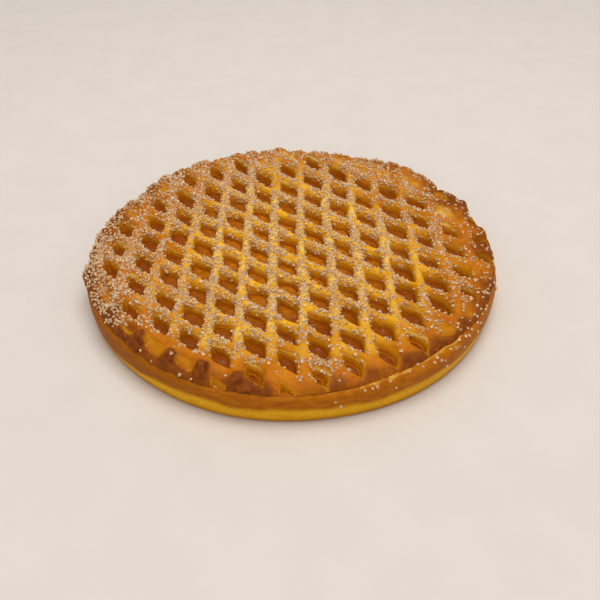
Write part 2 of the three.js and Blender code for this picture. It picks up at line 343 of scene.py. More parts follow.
def crust_finish():
    """Pale gold on the wall and brown above, golden under the lattice. The foot of the wall is darker, which
    is painted shade, and at the left the brown reaches lower and is darker, which is painted shade too.
    """
    constants = {"Specular IOR Level": 0.07, "Coat Weight": 0.04, "Coat Roughness": 0.3}
    finish = Finish("baked_crust", constants)
    across, _, height = finish.parts()
    # Painted shade on the left side: there the brown band reaches further down the wall.
    left = 1 - finish.rise(across, -125, -60)
    broad = finish.grain(26)
    fine = finish.grain(2.2, 4)
    streak = finish.grain(7, 3, (1, 1, 3))
    gold = finish.mix(fine, tone(230, 164, 8), tone(244, 186, 28))
    # Painted shade: the gold darkens toward the foot of the wall, where it curves in to the floor.
    gold = finish.mix(finish.rise(height, 0, 6), tone(190, 116, 4), gold)
    brown = finish.mix(streak, tone(172, 92, 2), tone(192, 112, 6))
    # Painted shade: the brown darkens toward the left side.
    brown = finish.mix(0.6 * (1 - finish.rise(across, -105, 5)), brown, tone(148, 82, 4))
    browned = finish.rise(height + 2.4 * (broad - 0.5) + 7 * left, brown_from, brown_to)
    wall = finish.mix(browned, gold, brown)
    outward = finish.outward()
    under_sheet = finish.mix(finish.rise(outward, 133, 136), tone(178, 96, 0), tone(216, 160, 54))
    covered = 1 - finish.rise(outward + 1.8 * (finish.grain(7, 2) - 0.5), 138.6, 139.8)
    covered = covered * finish.rise(height, 16, 18) * finish.rise(finish.grain(11, 2), 0.2, 0.6)
    finish.feed(Base_Color=finish.mix(covered, wall, under_sheet))
    finish.feed(Roughness=0.42 + 0.16 * fine)
    finish.feed(Normal=finish.relief(finish.grain(0.9, 5) + 0.5 * finish.grain(3.1, 3), 0.28))
    return finish.material


crust = mesh_piece("crust_dish", *crust_shape(), crust_finish())
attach(crust, "root")
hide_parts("crust")

# Filling: fruit cooked to a thick, wet compote, spread in the dish before the lattice went on.
# It shows at the bottom of each hole, lumpy and glazed by its own syrup.
filling_low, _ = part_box("filling")
filling_bottom = mm_per_metre * filling_low.z
filling_radius = 127.85
filling_lump = 0.9
filling_rings = 130
filling_segments = 420


def filling_height(x, y):
    """Height of the fruit's upper side: broad and small lumps, nowhere above the crust's seat."""
    across = np.sin(x * 0.31 + 2.2 * np.sin(y * 0.11))
    along = np.sin(y * 0.37 + 1.7 * np.sin(x * 0.09))
    small = 0.3 * (1 + lumps(x, y, 3.4, salt=21)) + 0.14 * (1 + lumps(x, y, 1.7, salt=22))
    return seat_height - filling_lump * (0.5 + 0.5 * across * along) - small


def filling_shape():
    """A flat disc, turned from its profile, whose upper side is then made lumpy."""
    rings = np.linspace(filling_radius, 0, filling_rings)
    profile = [(0, filling_bottom), (filling_radius, filling_bottom), *((r, seat_height) for r in rings)]
    points, faces = turned(profile, filling_segments)
    x, y, z = points.T
    upper = z > filling_bottom + 1
    return np.column_stack([x, y, np.where(upper, filling_height(x, y), z)]), faces


def filling_finish():
    """Orange-brown fibres, darker toward the rim as painted shade of the narrower, deeper holes there, under
    patches of shiny syrup.
    """
    finish = Finish("fruit_compote", {"Specular IOR Level": 0.06, "Coat Roughness": 0.12})
    fibre = finish.grain(2, 3, (0.4, 1.4, 1))
    fruit = finish.mix(finish.grain(5, 3), tone(166, 90, 0), tone(212, 132, 0))
    fruit = finish.mix(fibre, fruit, tone(172, 96, 0))
    dark = finish.mix(fibre, tone(112, 42, 0), tone(146, 70, 0))
    # Painted shade: the fruit darkens toward the rim, where the holes are narrower and deeper.
    outer = finish.rise(finish.outward() + 30 * (finish.grain(30, 2) - 0.5), 35, 110)
    finish.feed(Base_Color=finish.mix(0.85 * outer, fruit, dark))
    finish.feed(Coat_Weight=0.24 * finish.rise(finish.grain(1.7, 2), 0.55, 0.9))
    finish.feed(Roughness=0.2 + 0.14 * finish.grain(2.4, 2))
    finish.feed(Normal=finish.relief(fibre, 0.3))
    return finish.material


filling = mesh_piece("fruit_filling", *filling_shape(), filling_finish())
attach(filling, "root")
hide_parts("filling")

# Lattice: one thin sheet of the same dough, slit by a lattice roller, pulled open and laid over
# the fruit. Its strands run from front to back and lean down to the right, puffed up and
# browned, most of all at the rim, where some end in a dark knob. The slit sides stayed pale.
column_pitch = 19.65
middle_column_x = -2.9
column_lean = 0.016
front_row_y = -142.7
row_pitch = 22.8
row_stretch = 0.0148
row_start = 0.205
row_drop = 0.5685
row_drop_ease = 0.0058
lattice_warp = 1.1
warp_size = 27
cell_reach = 11
middle_row = 5.7
# The sheet's height and relief. It has settled a little into the crust under it.
sheet_low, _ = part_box("lattice_top")
sheet_settling = 0.4
sheet_bottom = mm_per_metre * sheet_low.z - sheet_settling
sheet_top = 26.8
sheet_waves = 0.5
rim_rise = 1.1
back_rise = 2.2
crossing_rise = 0.15
ridge_rise = 0.3
sheet_puffs = [(0.3, 13), (0.16, 5.5), (0.06, 2.2)]
# Holes: their sizes in shares of a cell, how they stray from one another, and the radii between
# which they shrink toward the rim.
hole_half_width = 0.252
hole_half_length = 0.245
hole_shift = -0.035
hole_stray = 0.035
hole_squareness = 4.6
hole_rim_squareness = 2.7
squareness_stray = 0.8
corner_squareness = 0.5
acute_squareness = 1.4
acute_rim_squareness = 1.3
outline_waver = 0.04
hole_uneven = 0.12
hole_width_stray = 0.14
hole_length_stray = 0.17
hole_wedge = 0.2
hole_wedge_stray = 0.18
hole_full_radius = 108
hole_margin = 6
hole_shrink = 0.93
hole_shrinks = 9
hole_last_radius = 123.5
hole_last_front_radius = 129
hole_last_size = 0.66
closed_hole_size = 0.85
# How the strands round off into the holes, and the shallow pans of closed ones.
foot_sink = 1.8
strand_depth = 6.2
far_fullness = 1.9
near_fullness = 3.6
torn_unevenness = 0.12
torn_size = 3.1
pan_depth = 2.5
front_pan_depth = 3.4
pan_unevenness = 0.2
pan_lump_size = 4
slit_narrowing = 0.4
slits = [(0, 0), (-2, -1), (3, 2), (7, 9), (7, 10), (7, 11), (6, 7)]
side_steps = 14
top_shares = [0, 0.14, 0.28, 0.41, 0.53, 0.64, 0.74, 0.82, 0.89, 0.945, 0.98, 1]
pan_shares = [0.15, 0.32, 0.5, 0.7, 0.88]
merge_digits = 4
# The sheet's outline and its browned rim.
sheet_set_back = 0.5
sheet_front_set_back = 2.4
back_swell = 1.5
scallop_count = 56
scallop_depth = 2.4
scallop_rise = 2.6
scallop_waver = 0.3
scallop_share = 0.75
scallop_stray = 0.25
front_scallop_share = 0.3
edge_notch = 0.5
edge_notch_size = 7
# Where the sheet hangs over the wall or ends short of it: the middle of the place, its spread
# onward and back from there, all in degrees, and how far out the sheet reaches.
flaps = [
    (24, 5, 3, 4.3),
    (33, 4, 4, -1.5),
    (41, 16, 2.5, 5.5),
    (95, 5, 2, 3.7),
    (153, 13, 13, -5.5),
    (192.5, 8, 3.5, 3.5),
    (-54, 13, 20, -3),
]
flap_rise = 1.4
flap_rise_angle = 50
flap_rise_spread = 11
edge_side = 1.1
edge_top = 6.6
edge_round = 2.6
front_edge_round = 6.5
knob_edge_round = 4.0
edge_slope = 0.06
fold_height = 0.7
fold_length = 16
fold_width = 3.6
fold_reach = 20
right_fold_height = 1.3
groove_depth = 0.7
groove_width = 0.7
groove_length = 24
groove_inset = 4.2
underside_set_back = 0.15
# Rings between the upper side and the underside: how far in they lie, and their share of height.
edge_levels = [(-0.05, 0.6), (0.0, 0.3), (0.12, 0.08)]
# The knobs in which strands end, and the lower lobes at the front right.
knob_inset = 6.6
knob_out = 0.4
back_knob_out = 1.2
knob_width = 4.3
knob_length = 4.8
knob_rise = 2.2
back_knob_rise = 0.3
knob_unevenness = 0.3
front_strands = np.arange(-5.5, -1)
back_strands = np.arange(-5.5, 4)
left_strands = np.arange(0.5, 4)
lobe_strands = np.arange(1.5, 6)
along_strand = np.arange(0, 9, 0.02)


def swell(x, y):
    """Slow waves over the whole pie, from -1 to 1."""
    return (np.sin(x * 0.041 + 1.3) + np.sin(y * 0.053 - x * 0.022) + np.sin(y * 0.029 + 2.1)) / 3


def frontness(x, y):
    """1 at the front, 0 at the back."""
    return 1 - smoothstep(np.sin(np.arctan2(y, x)), -0.45, 0.1)


def lattice_place(column, row):
    """Place of a column and row of the lattice on the pie. Holes lie at whole numbers."""
    step = row + row_start - row_drop * column + row_drop_ease * column**2
    y = front_row_y + row_pitch * step + row_stretch * step**3
    x = middle_column_x + column_pitch * column - column_lean * y
    x_warp = lattice_warp * lumps(x, y, warp_size, salt=17)
    y_warp = lattice_warp * lumps(x, y, warp_size, salt=18)
    return x + x_warp, y + y_warp


def plain_radius(angle):
    """Outline of the sheet without its knobs: it ends short of the wall or hangs over it."""
    front = frontness(np.cos(angle), np.sin(angle))
    radius = outer_radius(angle) - lerp(sheet_set_back, sheet_front_set_back, front)
    for middle, onward, back, out in flaps:
        turn = (np.degrees(angle) - middle + 180) % 360 - 180
        spread = np.where(turn > 0, onward, back)
        radius = radius + out * bell(turn, spread)
    return radius - scallop_depth * lerp(1, front_scallop_share, front) * (1 - scallop(angle))


def scallop(angle):
    """1 on the bulges along the rim, down to 0 in the notches between them."""
    step = angle / (2 * np.pi) * scallop_count + scallop_waver * np.sin(7 * angle)
    index = np.floor(step)
    bulge = 1 - (2 * (step - index) - 1) ** 4
    return bulge * (scallop_share + scallop_stray * wobble(index % scallop_count, 0, salt=38))


def rim_angle(column, row):
    """Angle at which a line of places along the lattice, from inside the rim, meets it."""
    x, y = lattice_place(column, row)
    angle = np.arctan2(y, x)
    outside = np.hypot(x, y) > plain_radius(angle) - knob_inset
    return angle[np.argmax(outside)]


def column_end(column, way):
    """Angle at which a strand reaches the rim: way is 1 for its back end, -1 for its front end."""
    return rim_angle(column, middle_row + row_drop * column + way * along_strand)


strand_ends = [column_end(column, -1) for column in front_strands]
strand_ends += [column_end(column, 1) for column in back_strands]
strand_ends += [rim_angle(-along_strand, row) for row in left_strands]
knobs = [(end, 1 + knob_unevenness * wobble(index, 1, salt=7)) for index, end in enumerate(strand_ends)]
lobes = [(column_end(column, -1), 1) for column in lobe_strands]


def knob_share(angle, ends=knobs):
    """About 1 in the middle of a knob, 0 away from the knobs."""
    share = 0
    for middle, size in ends:
        along = wall_radius * ((angle - middle + np.pi) % (2 * np.pi) - np.pi)
        share = share + size * bell(along, knob_width, 4)
    return share


def sheet_radius(angle):
    """Outline of the sheet with its knobs."""
    out = lerp(back_knob_out, knob_out, frontness(np.cos(angle), np.sin(angle)))
    notch = edge_notch * (0.5 + 0.5 * lumps(angle * wall_radius, 0 * angle, edge_notch_size, salt=36))
    return plain_radius(angle) + out * knob_share(angle) - notch


def inset(x, y):
    """How far inside the sheet's outline a place lies."""
    return sheet_radius(np.arctan2(y, x)) - np.hypot(x, y)


def sheet_height(x, y):
    """Height of the sheet's crests, which rise toward the rim, to the back and to one flap."""
    over_rim = rim_rise * smoothstep(np.hypot(x, y), 90, 130)
    over_back = back_rise * smoothstep(y, 50, 145)
    over_flap = flap_rise * bell(np.degrees(np.arctan2(y, x)) - flap_rise_angle, flap_rise_spread)
    over_flap = over_flap * smoothstep(np.hypot(x, y), 114, 134)
    return sheet_top + over_rim + over_back + over_flap + sheet_waves * swell(x, y)


def lower_of(first, second):
    """The lower of two heights, rounded where they cross."""
    return -0.5 * np.logaddexp(-2 * first, -2 * second)


def rim_fold(x, arc, inside):
    """Height of the folds in the puffed rim, which are highest at the right."""
    height = lerp(fold_height, right_fold_height, smoothstep(x, 80, 120))
    height = height * lumps(arc, inside * fold_length / fold_width, fold_length, salt=34)
    return height * smoothstep(inside, 0, 2) * (1 - smoothstep(inside, fold_reach - 8, fold_reach))


def rim_groove(arc, inside, front, on_knob):
    """Depth of the groove that runs along the front rim, between the knobs."""
    share = front * smoothstep(lumps(arc, 0 * arc, groove_length, salt=35), -0.5, 0.3) * (1 - on_knob)
    return groove_depth * share * bell(inside - groove_inset, groove_width)


def top_height(column, row, x, y, fall):
    """Height of the sheet's upper side, where fall is how far it dips toward a hole."""
    angle = np.arctan2(y, x)
    arc = angle * wall_radius
    inside = np.maximum(inset(x, y), 0)
    front = frontness(x, y)
    knob = knob_share(angle)
    on_knob = np.minimum(knob, 1)
    crossing = crossing_rise * np.cos(2 * np.pi * column) * np.cos(2 * np.pi * row)
    ridge = -ridge_rise * np.cos(2 * np.pi * column)
    puff = layered(x, y, sheet_puffs, salt=31)
    top = sheet_height(x, y) + crossing + ridge + puff - fall
    rounding = lerp(lerp(edge_round, front_edge_round, front), knob_edge_round, on_knob)
    edge = edge_side + edge_top * (1 - np.exp(-inside / rounding)) + edge_slope * inside
    lower = lower_of(top, sheet_bottom + lerp(back_swell, 1, front) * edge)
    dome = bell(inside - knob_inset, knob_length, 4) * (1 - np.exp(-inside))
    dome = lerp(back_knob_rise, knob_rise, front) * dome * knob
    bulge = scallop_rise * (1 - front) * (scallop(angle) - 0.5) * (1 - smoothstep(inside, 3, 11))
    return lower + rim_fold(x, arc, inside) - rim_groove(arc, inside, front, on_knob) + dome + bulge


def hole_size(column, row):
    """Size of a hole against a full one: it shrinks toward the rim, and is 0 where it is closed."""
    x, y = lattice_place(column, row)
    radius = math.hypot(x, y)
    last = lerp(hole_last_radius, hole_last_front_radius, frontness(x, y))
    if radius > last:
        return 0
    uneven = 1 + hole_uneven * wobble(column, row, salt=5)
    return float(uneven * lerp(1, hole_last_size, smoothstep(radius, hole_full_radius, last)))


def square_outline():
    """Points round a cell, a unit square, with a point on each corner."""
    side = np.linspace(-0.5, 0.5, side_steps, endpoint=False)
    half = np.full(side_steps, 0.5)
    sides = [(side, -half), (half, side), (-side, half), (-half, -side)]
    return np.vstack([np.column_stack(pair) for pair in sides])


def hole_outline(column, row, size):
    """Points round a hole: a leaning square, round at the upper left, pointed at the lower right."""
    ray = square_outline()
    turn = np.arctan2(ray[:, 1], ray[:, 0])
    corner = np.cos(turn + np.pi / 4)
    acute = np.cos(2 * turn + np.pi / 2)
    near_rim = float(smoothstep(np.hypot(*lattice_place(column, row)), 96, 122))
    squareness = hole_squareness + squareness_stray * wobble(column, row, salt=6)
    squareness = squareness + corner_squareness * corner + acute_squareness * acute
    squareness = lerp(squareness, hole_rim_squareness + acute_rim_squareness * acute, near_rim)
    width = hole_half_width * (1 + hole_width_stray * wobble(column, row, salt=8))
    length = hole_half_length * (1 + hole_length_stray * wobble(column, row, salt=9))
    across = np.abs(np.cos(turn) / width) ** squareness
    along = np.abs(np.sin(turn) / length) ** squareness
    reach = size * (across + along) ** (-1 / squareness)
    reach *= 1 + outline_waver * np.sin(2 * turn + 3 * wobble(column, row, salt=10))
    shift = hole_stray * np.array([wobble(column, row, salt=3), wobble(column, row, salt=4)])
    hole = np.column_stack([np.cos(turn), np.sin(turn)]) * reach[:, None]
    wedge = (hole_wedge + hole_wedge_stray * wobble(column, row, salt=14)) * (1 - near_rim)
    hole[:, 1] *= 1 + wedge * hole[:, 0] / width
    hole[:, 1] += hole_shift * size
    return hole + shift


def fitted_hole(column, row, size):
    """Points round a hole, or round a closed one's pan, drawn in where they come near the rim."""
    hole = hole_outline(column, row, size or closed_hole_size)
    if (column, row) in slits:
        hole[:, 1] *= slit_narrowing
    for _ in range(hole_shrinks):
        near_edge = inset(*lattice_place(*(hole + (column, row)).T)) < hole_margin
        hole = np.where(near_edge[:, None], hole_shrink * hole, hole)
    return hole


def trimmed(column, row, set_back=0):
    """Places of columns and rows, moved onto the sheet's outline where they lie past it."""
    x, y = lattice_place(column, row)
    angle = np.arctan2(y, x)
    radius = np.hypot(x, y)
    limit = sheet_radius(angle)
    outside = radius > limit
    radius = np.where(outside, limit - set_back, radius)
    return radius * np.cos(angle), radius * np.sin(angle), outside


class Shell:
    """Rings of points and the faces between them, cut off at the outline of the sheet."""

    def __init__(self):
        self.points = []
        self.outside = []
        self.marks = []
        self.faces = []
        self.pairs = []
        self.count = 0

    def ring(self, cells, place, outside, depth, pale):
        """Adds points, with their places in the lattice and on the pie, and gives their numbers.

        Their marks are how deep they lie in the sheet, how pale they stayed, and 1 on strands
        that run to the back or 0 on those that cross them.
        """
        column, row = cells.T
        upright = 0.5 + 0.25 * (np.cos(2 * np.pi * row) - np.cos(2 * np.pi * column))
        self.points.append(np.column_stack(np.broadcast_arrays(*place)))
        self.outside.append(outside)
        self.marks.append(np.column_stack(np.broadcast_arrays(depth, pale, upright)))
        self.count += len(cells)
        return np.arange(self.count - len(cells), self.count)

    def band(self, first, second):
        """Adds the faces between two rings, or between a ring and the point in its middle."""
        second = np.broadcast_to(second, first.shape)
        self.faces.append(np.column_stack([first, np.roll(first, -1), np.roll(second, -1), second]))


paleness = 0.35
paleness_stray = 0.35
rim_paleness = 0.3
closed_darkening = 0.1
closed_front_darkening = 0.6
closed_right_darkening = 0.4


def hole_paleness(column, row, size):
    """How pale the sides of a hole stayed, from 0 to 1: most near the rim, but less in closed ones."""
    x, y = lattice_place(column, row)
    near_rim = smoothstep(math.hypot(x, y), 88, 122)
    pale = paleness + paleness_stray * wobble(column, row, salt=13) + rim_paleness * near_rim
    if not size:
        darkening = closed_darkening + closed_front_darkening * frontness(x, y)
        pale -= darkening + closed_right_darkening * smoothstep(x - y, 60, 110)
    return float(np.clip(pale, 0, 1))


def closed_fall(share, x, y):
    """How far the sheet dips toward a closed hole: more at the front, and not at the outline."""
    deepest = lerp(pan_depth, front_pan_depth, frontness(x, y))
    deepest = deepest * (1 + pan_unevenness * lumps(x, y, pan_lump_size, salt=35))
    return deepest * smoothstep(share, 0.1, 1) * smoothstep(inset(x, y), 1.5, 6)


def slit_fall(share, x, y):
    """How far the sheet dips toward a narrow hole, whose sides are steep."""
    return (sheet_height(x, y) - sheet_bottom + foot_sink) * smoothstep(share, 0.5, 1.05)


def open_fall(far_side, share, x, y):
    """How far a strand has rounded off, from its crest down to the fruit in an open hole."""
    deepest = sheet_height(x, y) - sheet_bottom + foot_sink
    torn = 1 + torn_unevenness * lumps(x, y, torn_size, salt=37) * math.sin(math.pi * share)
    return deepest * torn * share ** lerp(near_fullness, far_fullness, far_side)


def add_cell(shell, column, row):
    """One cell of the sheet: its hole or the shallow pan of a closed hole, and its underside."""
    middle = np.array([[column, row]], float)
    outline = square_outline() + middle
    inside = inset(*lattice_place(*outline.T))
    if inside.max() < 0:
        return
    size = hole_size(column, row)
    hole = fitted_hole(column, row, size)
    foot = middle + hole
    far_side = smoothstep(np.sin(np.arctan2(hole[:, 1], hole[:, 0])), -0.1, 0.7)
    pale = hole_paleness(column, row, size) * (far_side if size else 1)
    fall = partial(open_fall, far_side) if size else closed_fall
    if (column, row) in slits:
        fall = slit_fall

    def upper(cells, share):
        """A ring of the upper side. Share is 0 on the cell's outline, 1 at the foot of its hole."""
        x, y, outside = trimmed(*cells.T)
        dip = fall(share, x, y)
        height = top_height(*cells.T, x, y, dip)
        return shell.ring(cells, (x, y, height), outside, dip / strand_depth, pale)

    def under(cells):
        """A ring of the underside."""
        x, y, outside = trimmed(*cells.T, underside_set_back)
        return shell.ring(cells, (x, y, sheet_bottom), outside, 1, 1)

    uppers = [upper(lerp(outline, foot, share), share) for share in top_shares]
    if size:
        inner = uppers[-1]
    else:
        uppers += [upper(lerp(foot, middle, share), 1) for share in pan_shares]
        uppers.append(upper(middle, 1))
        inner = under(middle)
        shell.pairs.append((uppers[-1], inner))
    for first, second in zip(uppers, uppers[1:]):
        shell.band(first, second)
    crossing = inside.min() < 0
    cells = [lerp(outline, foot, share) for share in (top_shares if crossing else top_shares[:1])]
    if crossing and not size:
        cells += [lerp(foot, middle, share) for share in pan_shares]
    unders = [under(ring) for ring in cells]
    for first, second in zip(unders, unders[1:]):
        shell.band(first, second)
    shell.band(unders[-1], inner)
    shell.pairs += zip(uppers, unders)


def sheet_shape():
    """The whole sheet: all its cells, joined where their points meet."""
    shell = Shell()
    for column in range(-cell_reach, cell_reach + 1):
        for row in range(-cell_reach, 2 * cell_reach + 1):
            add_cell(shell, column, row)
    points = np.vstack(shell.points)
    faces = np.vstack(shell.faces)
    outside = np.concatenate(shell.outside)
    marks = np.vstack(shell.marks)
    faces = faces[~outside[faces].all(axis=1)]
    rounded = np.round(points, merge_digits)
    _, first, merged = np.unique(rounded, axis=0, return_index=True, return_inverse=True)
    merged = merged.ravel()
    faces = merged[faces]
    points = points[first]
    marks = marks[first]
    twin = {}
    for uppers, unders in shell.pairs:
        twin.update(zip(merged[uppers], merged[unders]))
    return close_edge(points, marks, faces, twin)


def close_edge(points, marks, faces, twin):
    """Joins the upper side's outline to the underside's by a rounded edge."""
    faces = [list(dict.fromkeys(face)) for face in faces.tolist()]
    faces = [face for face in faces if len(face) > 2]
    uses = {}
    for face in faces:
        for pair in zip(face, face[1:] + face[:1]):
            uses.setdefault(frozenset(pair), []).append(pair)
    open_edges = [pairs[0] for pairs in uses.values() if len(pairs) == 1 and pairs[0][0] in twin]
    rim = sorted({corner for pair in open_edges for corner in pair})
    place = points[rim]
    angle = np.arctan2(place[:, 1], place[:, 0])
    outward = np.column_stack([np.cos(angle), np.sin(angle)])
    levels = [dict(zip(rim, rim))]
    for set_back, share in edge_levels:
        height = lerp(sheet_bottom, place[:, 2], share)
        ring = np.column_stack([place[:, :2] - set_back * outward, height])
        levels.append(dict(zip(rim, range(len(points), len(points) + len(rim)))))
        points = np.vstack([points, ring])
        marks = np.vstack([marks, np.tile((0.5 * (1 - share), 1 - share, 0.5), (len(rim), 1))])
    levels.append(twin)
    for upper, lower in zip(levels, levels[1:]):
        faces += [[upper[b], upper[a], lower[a], lower[b]] for a, b in open_edges]
    return points, marks.T, faces


def lattice_finish():
    """Golden, orange or dark brown on top, by how far it baked, and mostly paler down its holes."""
    constants = {"Specular IOR Level": 0.07, "Coat Weight": 0.05, "Coat Roughness": 0.28}
    finish = Finish("lattice_dough", constants)
    depth = finish.mark("depth")
    pale = finish.mark("pale")
    upright = finish.mark("upright")
    browned = finish.mark("browned")
    broad = finish.grain(16, 2)
    mottle = finish.grain(3.2, 3)
    fine = finish.grain(0.9, 4)
    golden = finish.mix(mottle, tone(224, 152, 8), tone(246, 190, 48))
    crest = finish.rise(upright + 0.5 * (mottle - 0.5), 0.5, 1) * (1 - 0.7 * finish.rise(browned, 0.1, 0.35))
    golden = finish.mix(crest, golden, tone(242, 196, 82))
    orange = finish.mix(mottle, tone(184, 96, 4), tone(208, 126, 14))
    dark = finish.mix(mottle, tone(104, 48, 6), tone(146, 74, 10))
    bake = browned + 0.2 * (broad - 0.5) + 0.24 * (mottle - 0.5)
    top = finish.mix(finish.rise(bake, 0.1, 0.5), golden, orange)
    top = finish.mix(finish.rise(bake, 0.55, 0.95), top, dark)
    streak = finish.grain(4, 3, (0.4, 0.4, 3))
    side = finish.mix(streak, tone(192, 112, 0), tone(222, 156, 14))
    cream = finish.mix(streak, tone(216, 166, 40), tone(242, 212, 118))
    side = finish.mix(finish.rise(pale + 0.3 * (streak - 0.5), 0.4, 0.95), side, cream)
    level = depth + 0.2 * (streak - 0.5)
    side = finish.mix(finish.rise(level, 0.42, 0.66), side, tone(190, 122, 4))
    side = finish.mix(finish.rise(level, 0.68, 0.95), side, tone(174, 94, 0))
    slit = finish.rise(depth + 0.1 * (mottle - 0.5), 0.12, 0.5)
    baked_side = finish.mix(mottle, tone(164, 94, 2), tone(196, 126, 12))
    browning = 0.8 - 0.5 * finish.rise(pale, 0.3, 0.7)
    side = finish.mix(browning * finish.rise(bake, 0.35, 0.8), side, baked_side)
    finish.feed(Base_Color=finish.mix(slit, top, side))
    finish.feed(Roughness=0.4 + 0.2 * fine)
    finish.feed(Normal=finish.relief(fine + 0.6 * mottle, 0.22))
    return finish.material


# How much each part of the sheet browned.
outer_browning = 0.3
rim_browning = 0.3
edge_browning = 0.08
front_edge_browning = 0.28
left_browning = 0.13
right_browning = 0.15
front_right_share = 0.3
front_lightening = 0.03
knob_browning = 0.62
back_knob_browning = 0.12
lobe_browning = 0.12
patchy_browning = 0.12
patch_size = 19
knob_edge_waver = 1.8
knob_edge_size = 5
knob_raggedness = 0.3
ragged_size = 4
deepest_browning = 1.3


def sheet_browning(points):
    """How far the dough browned: least in the middle, most at the rim and the knobs."""
    x, y, _ = points.T
    angle = np.arctan2(y, x)
    inside = inset(x, y)
    front = frontness(x, y)
    edge = lerp(edge_browning, front_edge_browning, front) * (1 - smoothstep(inside, 0, 11))
    rim = outer_browning * smoothstep(np.hypot(x, y), 45, 110)
    rim = rim + rim_browning * (1 - smoothstep(inside, 4, 30)) + edge
    left = left_browning * smoothstep(-x, 30, 110)
    rim += left - front_lightening * front * (1 - smoothstep(inside, 2, 22))
    rim += right_browning * smoothstep(x, 30, 115) * lerp(1, front_right_share, front)
    waver = knob_edge_waver * lumps(x, y, knob_edge_size, salt=42)
    near_edge = bell(inside - knob_inset + waver, knob_width, 4)
    ragged = knob_raggedness * lumps(x, y, ragged_size, salt=43)
    knob = near_edge * smoothstep(knob_share(angle) + ragged, 0.2, 1.15)
    lobe = near_edge * smoothstep(knob_share(angle, lobes) + ragged, 0.1, 1.1)
    ends = lerp(back_knob_browning, knob_browning, front) * knob + lobe_browning * lobe
    patches = patchy_browning * lumps(x, y, patch_size, salt=41)
    return np.clip(rim + ends + patches, 0, deepest_browning)


sheet_points, marks, sheet_faces = sheet_shape()
sheet_marks = dict(zip(("depth", "pale", "upright"), marks), browned=sheet_browning(sheet_points))
lattice = mesh_piece("lattice_sheet", sheet_points, sheet_faces, lattice_finish(), sheet_marks)
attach(lattice, "root")
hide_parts("lattice_top")

# Sugar: coarse crystals, thrown over the lattice by hand before baking. They lie thick on the
# left and in the middle, thin on the right, and the front edge has next to none. A few fell
# beside the lattice, on the crust's bare shoulder.
grain_count = 6600
grain_small = 1.2
grain_large = 1.85
grain_spacing = 1.2
shoulder_grain_count = 30
shoulder_grain_spacing = 2.6
shoulder_sugar_from = 138
shoulder_sugar_room = 1.6
lump_count = 450
lump_small = 1.7
lump_large = 2.2
lump_spacing = 2
sugar_radius = 145
sugar_front_radius = 123
side_stray = (0.75, 1.1)
corner_stray = (0.82, 1.12)
tries_each = 3
sugar_seed = 20
# How the crystals thin out toward the right, the rim and the front, down the holes, between
# their clumps and on the strands that run to the back, and one thick patch at the front.
right_thinning = 0.35
far_right_thinning = 0.5
left_rim_thinning = 0.1
rim_thinning = 0.4
front_thinning = 0.62
front_right_thinning = 0.6
past_share = 0.03
hole_thinning = 0.7
strand_thinning = 0.25
sugar_clumps = [(0.6, 7), (0.4, 21)]
bare_share = 0.12
bare_share_left = 0.24
thick_share = 0.65
thick_x = 16
thick_y = -119
thick_width = 12
thick_depth = 8


def sugar_share(x, y):
    """Share of the crystals that stay at a place, from 0 to 1."""
    radius = np.hypot(x, y)
    last = lerp(sugar_radius, sugar_front_radius, smoothstep(-y / radius, 0.5, 0.8))
    share = 1 - right_thinning * smoothstep(x, 60, 95) - far_right_thinning * smoothstep(x, 95, 130)
    near_rim = lerp(left_rim_thinning, rim_thinning, smoothstep(x, -70, 30)) * smoothstep(radius, 114, 134)
    share *= 1 - near_rim
    share *= 1 - front_thinning * smoothstep(-y, 55, 120)
    share *= 1 - front_right_thinning * smoothstep(x - y, 90, 150) * smoothstep(-y, 40, 80)
    share *= past_share + (1 - past_share) * (1 - smoothstep(radius, last - 6, last + 2))
    clumped = smoothstep(layered(x, y, sugar_clumps, salt=51), -0.5, 0.35)
    share *= lerp(lerp(bare_share, bare_share_left, smoothstep(-x, 0, 80)), 1, clumped)
    return share + thick_share * bell(x - thick_x, thick_width) * bell(y - thick_y, thick_depth)


def surface(piece):
    """A piece's triangles in millimetres, their relative areas, normals and corners' numbers."""
    mesh = piece.data
    mesh.calc_loop_triangles()
    corners = np.empty(3 * len(mesh.loop_triangles), np.int32)
    mesh.loop_triangles.foreach_get("vertices", corners)
    places = np.empty(3 * len(mesh.vertices))
    mesh.vertices.foreach_get("co", places)
    corners = corners.reshape(-1, 3)
    triangles = mm_per_metre * places.reshape(-1, 3)[corners]
    normals = np.cross(triangles[:, 1] - triangles[:, 0], triangles[:, 2] - triangles[:, 0])
    areas = np.linalg.norm(normals, axis=1)
    return triangles, areas, normals / np.maximum(areas, 1e-9)[:, None], corners


def triangle_marks(piece, name, corners):
    """The named value at each corner of a piece's triangles."""
    marks = np.empty(len(piece.data.vertices))
    piece.data.attributes[name].data.foreach_get("value", marks)
    return marks[corners]


def lattice_places(count, spacing, draws):
    """Places of crystals on the upper side of the lattice, mostly up on its strands."""
    triangles, areas, normals, corners = surface(lattice)
    deep = triangle_marks(lattice, "depth", corners).max(axis=1)
    upright = triangle_marks(lattice, "upright", corners).mean(axis=1)
    middles = triangles.mean(axis=1)
    chance = areas * sugar_share(middles[:, 0], middles[:, 1])
    chance *= smoothstep(normals[:, 2], 0.1, 0.6) * (1 - hole_thinning * smoothstep(deep, 0.2, 0.42))
    chance *= (1 - smoothstep(deep, 0.6, 0.9)) * (1 - strand_thinning * smoothstep(upright, 0.5, 0.9))
    return scattered(triangles, chance, count, spacing, draws)


def shoulder_places(count, spacing, draws):
    """Places of the few crystals that fell beside the lattice, on the crust's shoulder."""
    triangles, areas, normals, _ = surface(crust)
    x, y, _ = triangles.mean(axis=1).T
    beside = smoothstep(np.hypot(x, y), shoulder_sugar_from, shoulder_sugar_from + 0.5)
    chance = areas * beside * shoulder_share(np.arctan2(y, x)) * smoothstep(normals[:, 2], 0.0, 0.4)
    chance *= y > mm_per_metre * cad_low.y + shoulder_sugar_room
    return scattered(triangles, chance, count, spacing, draws)


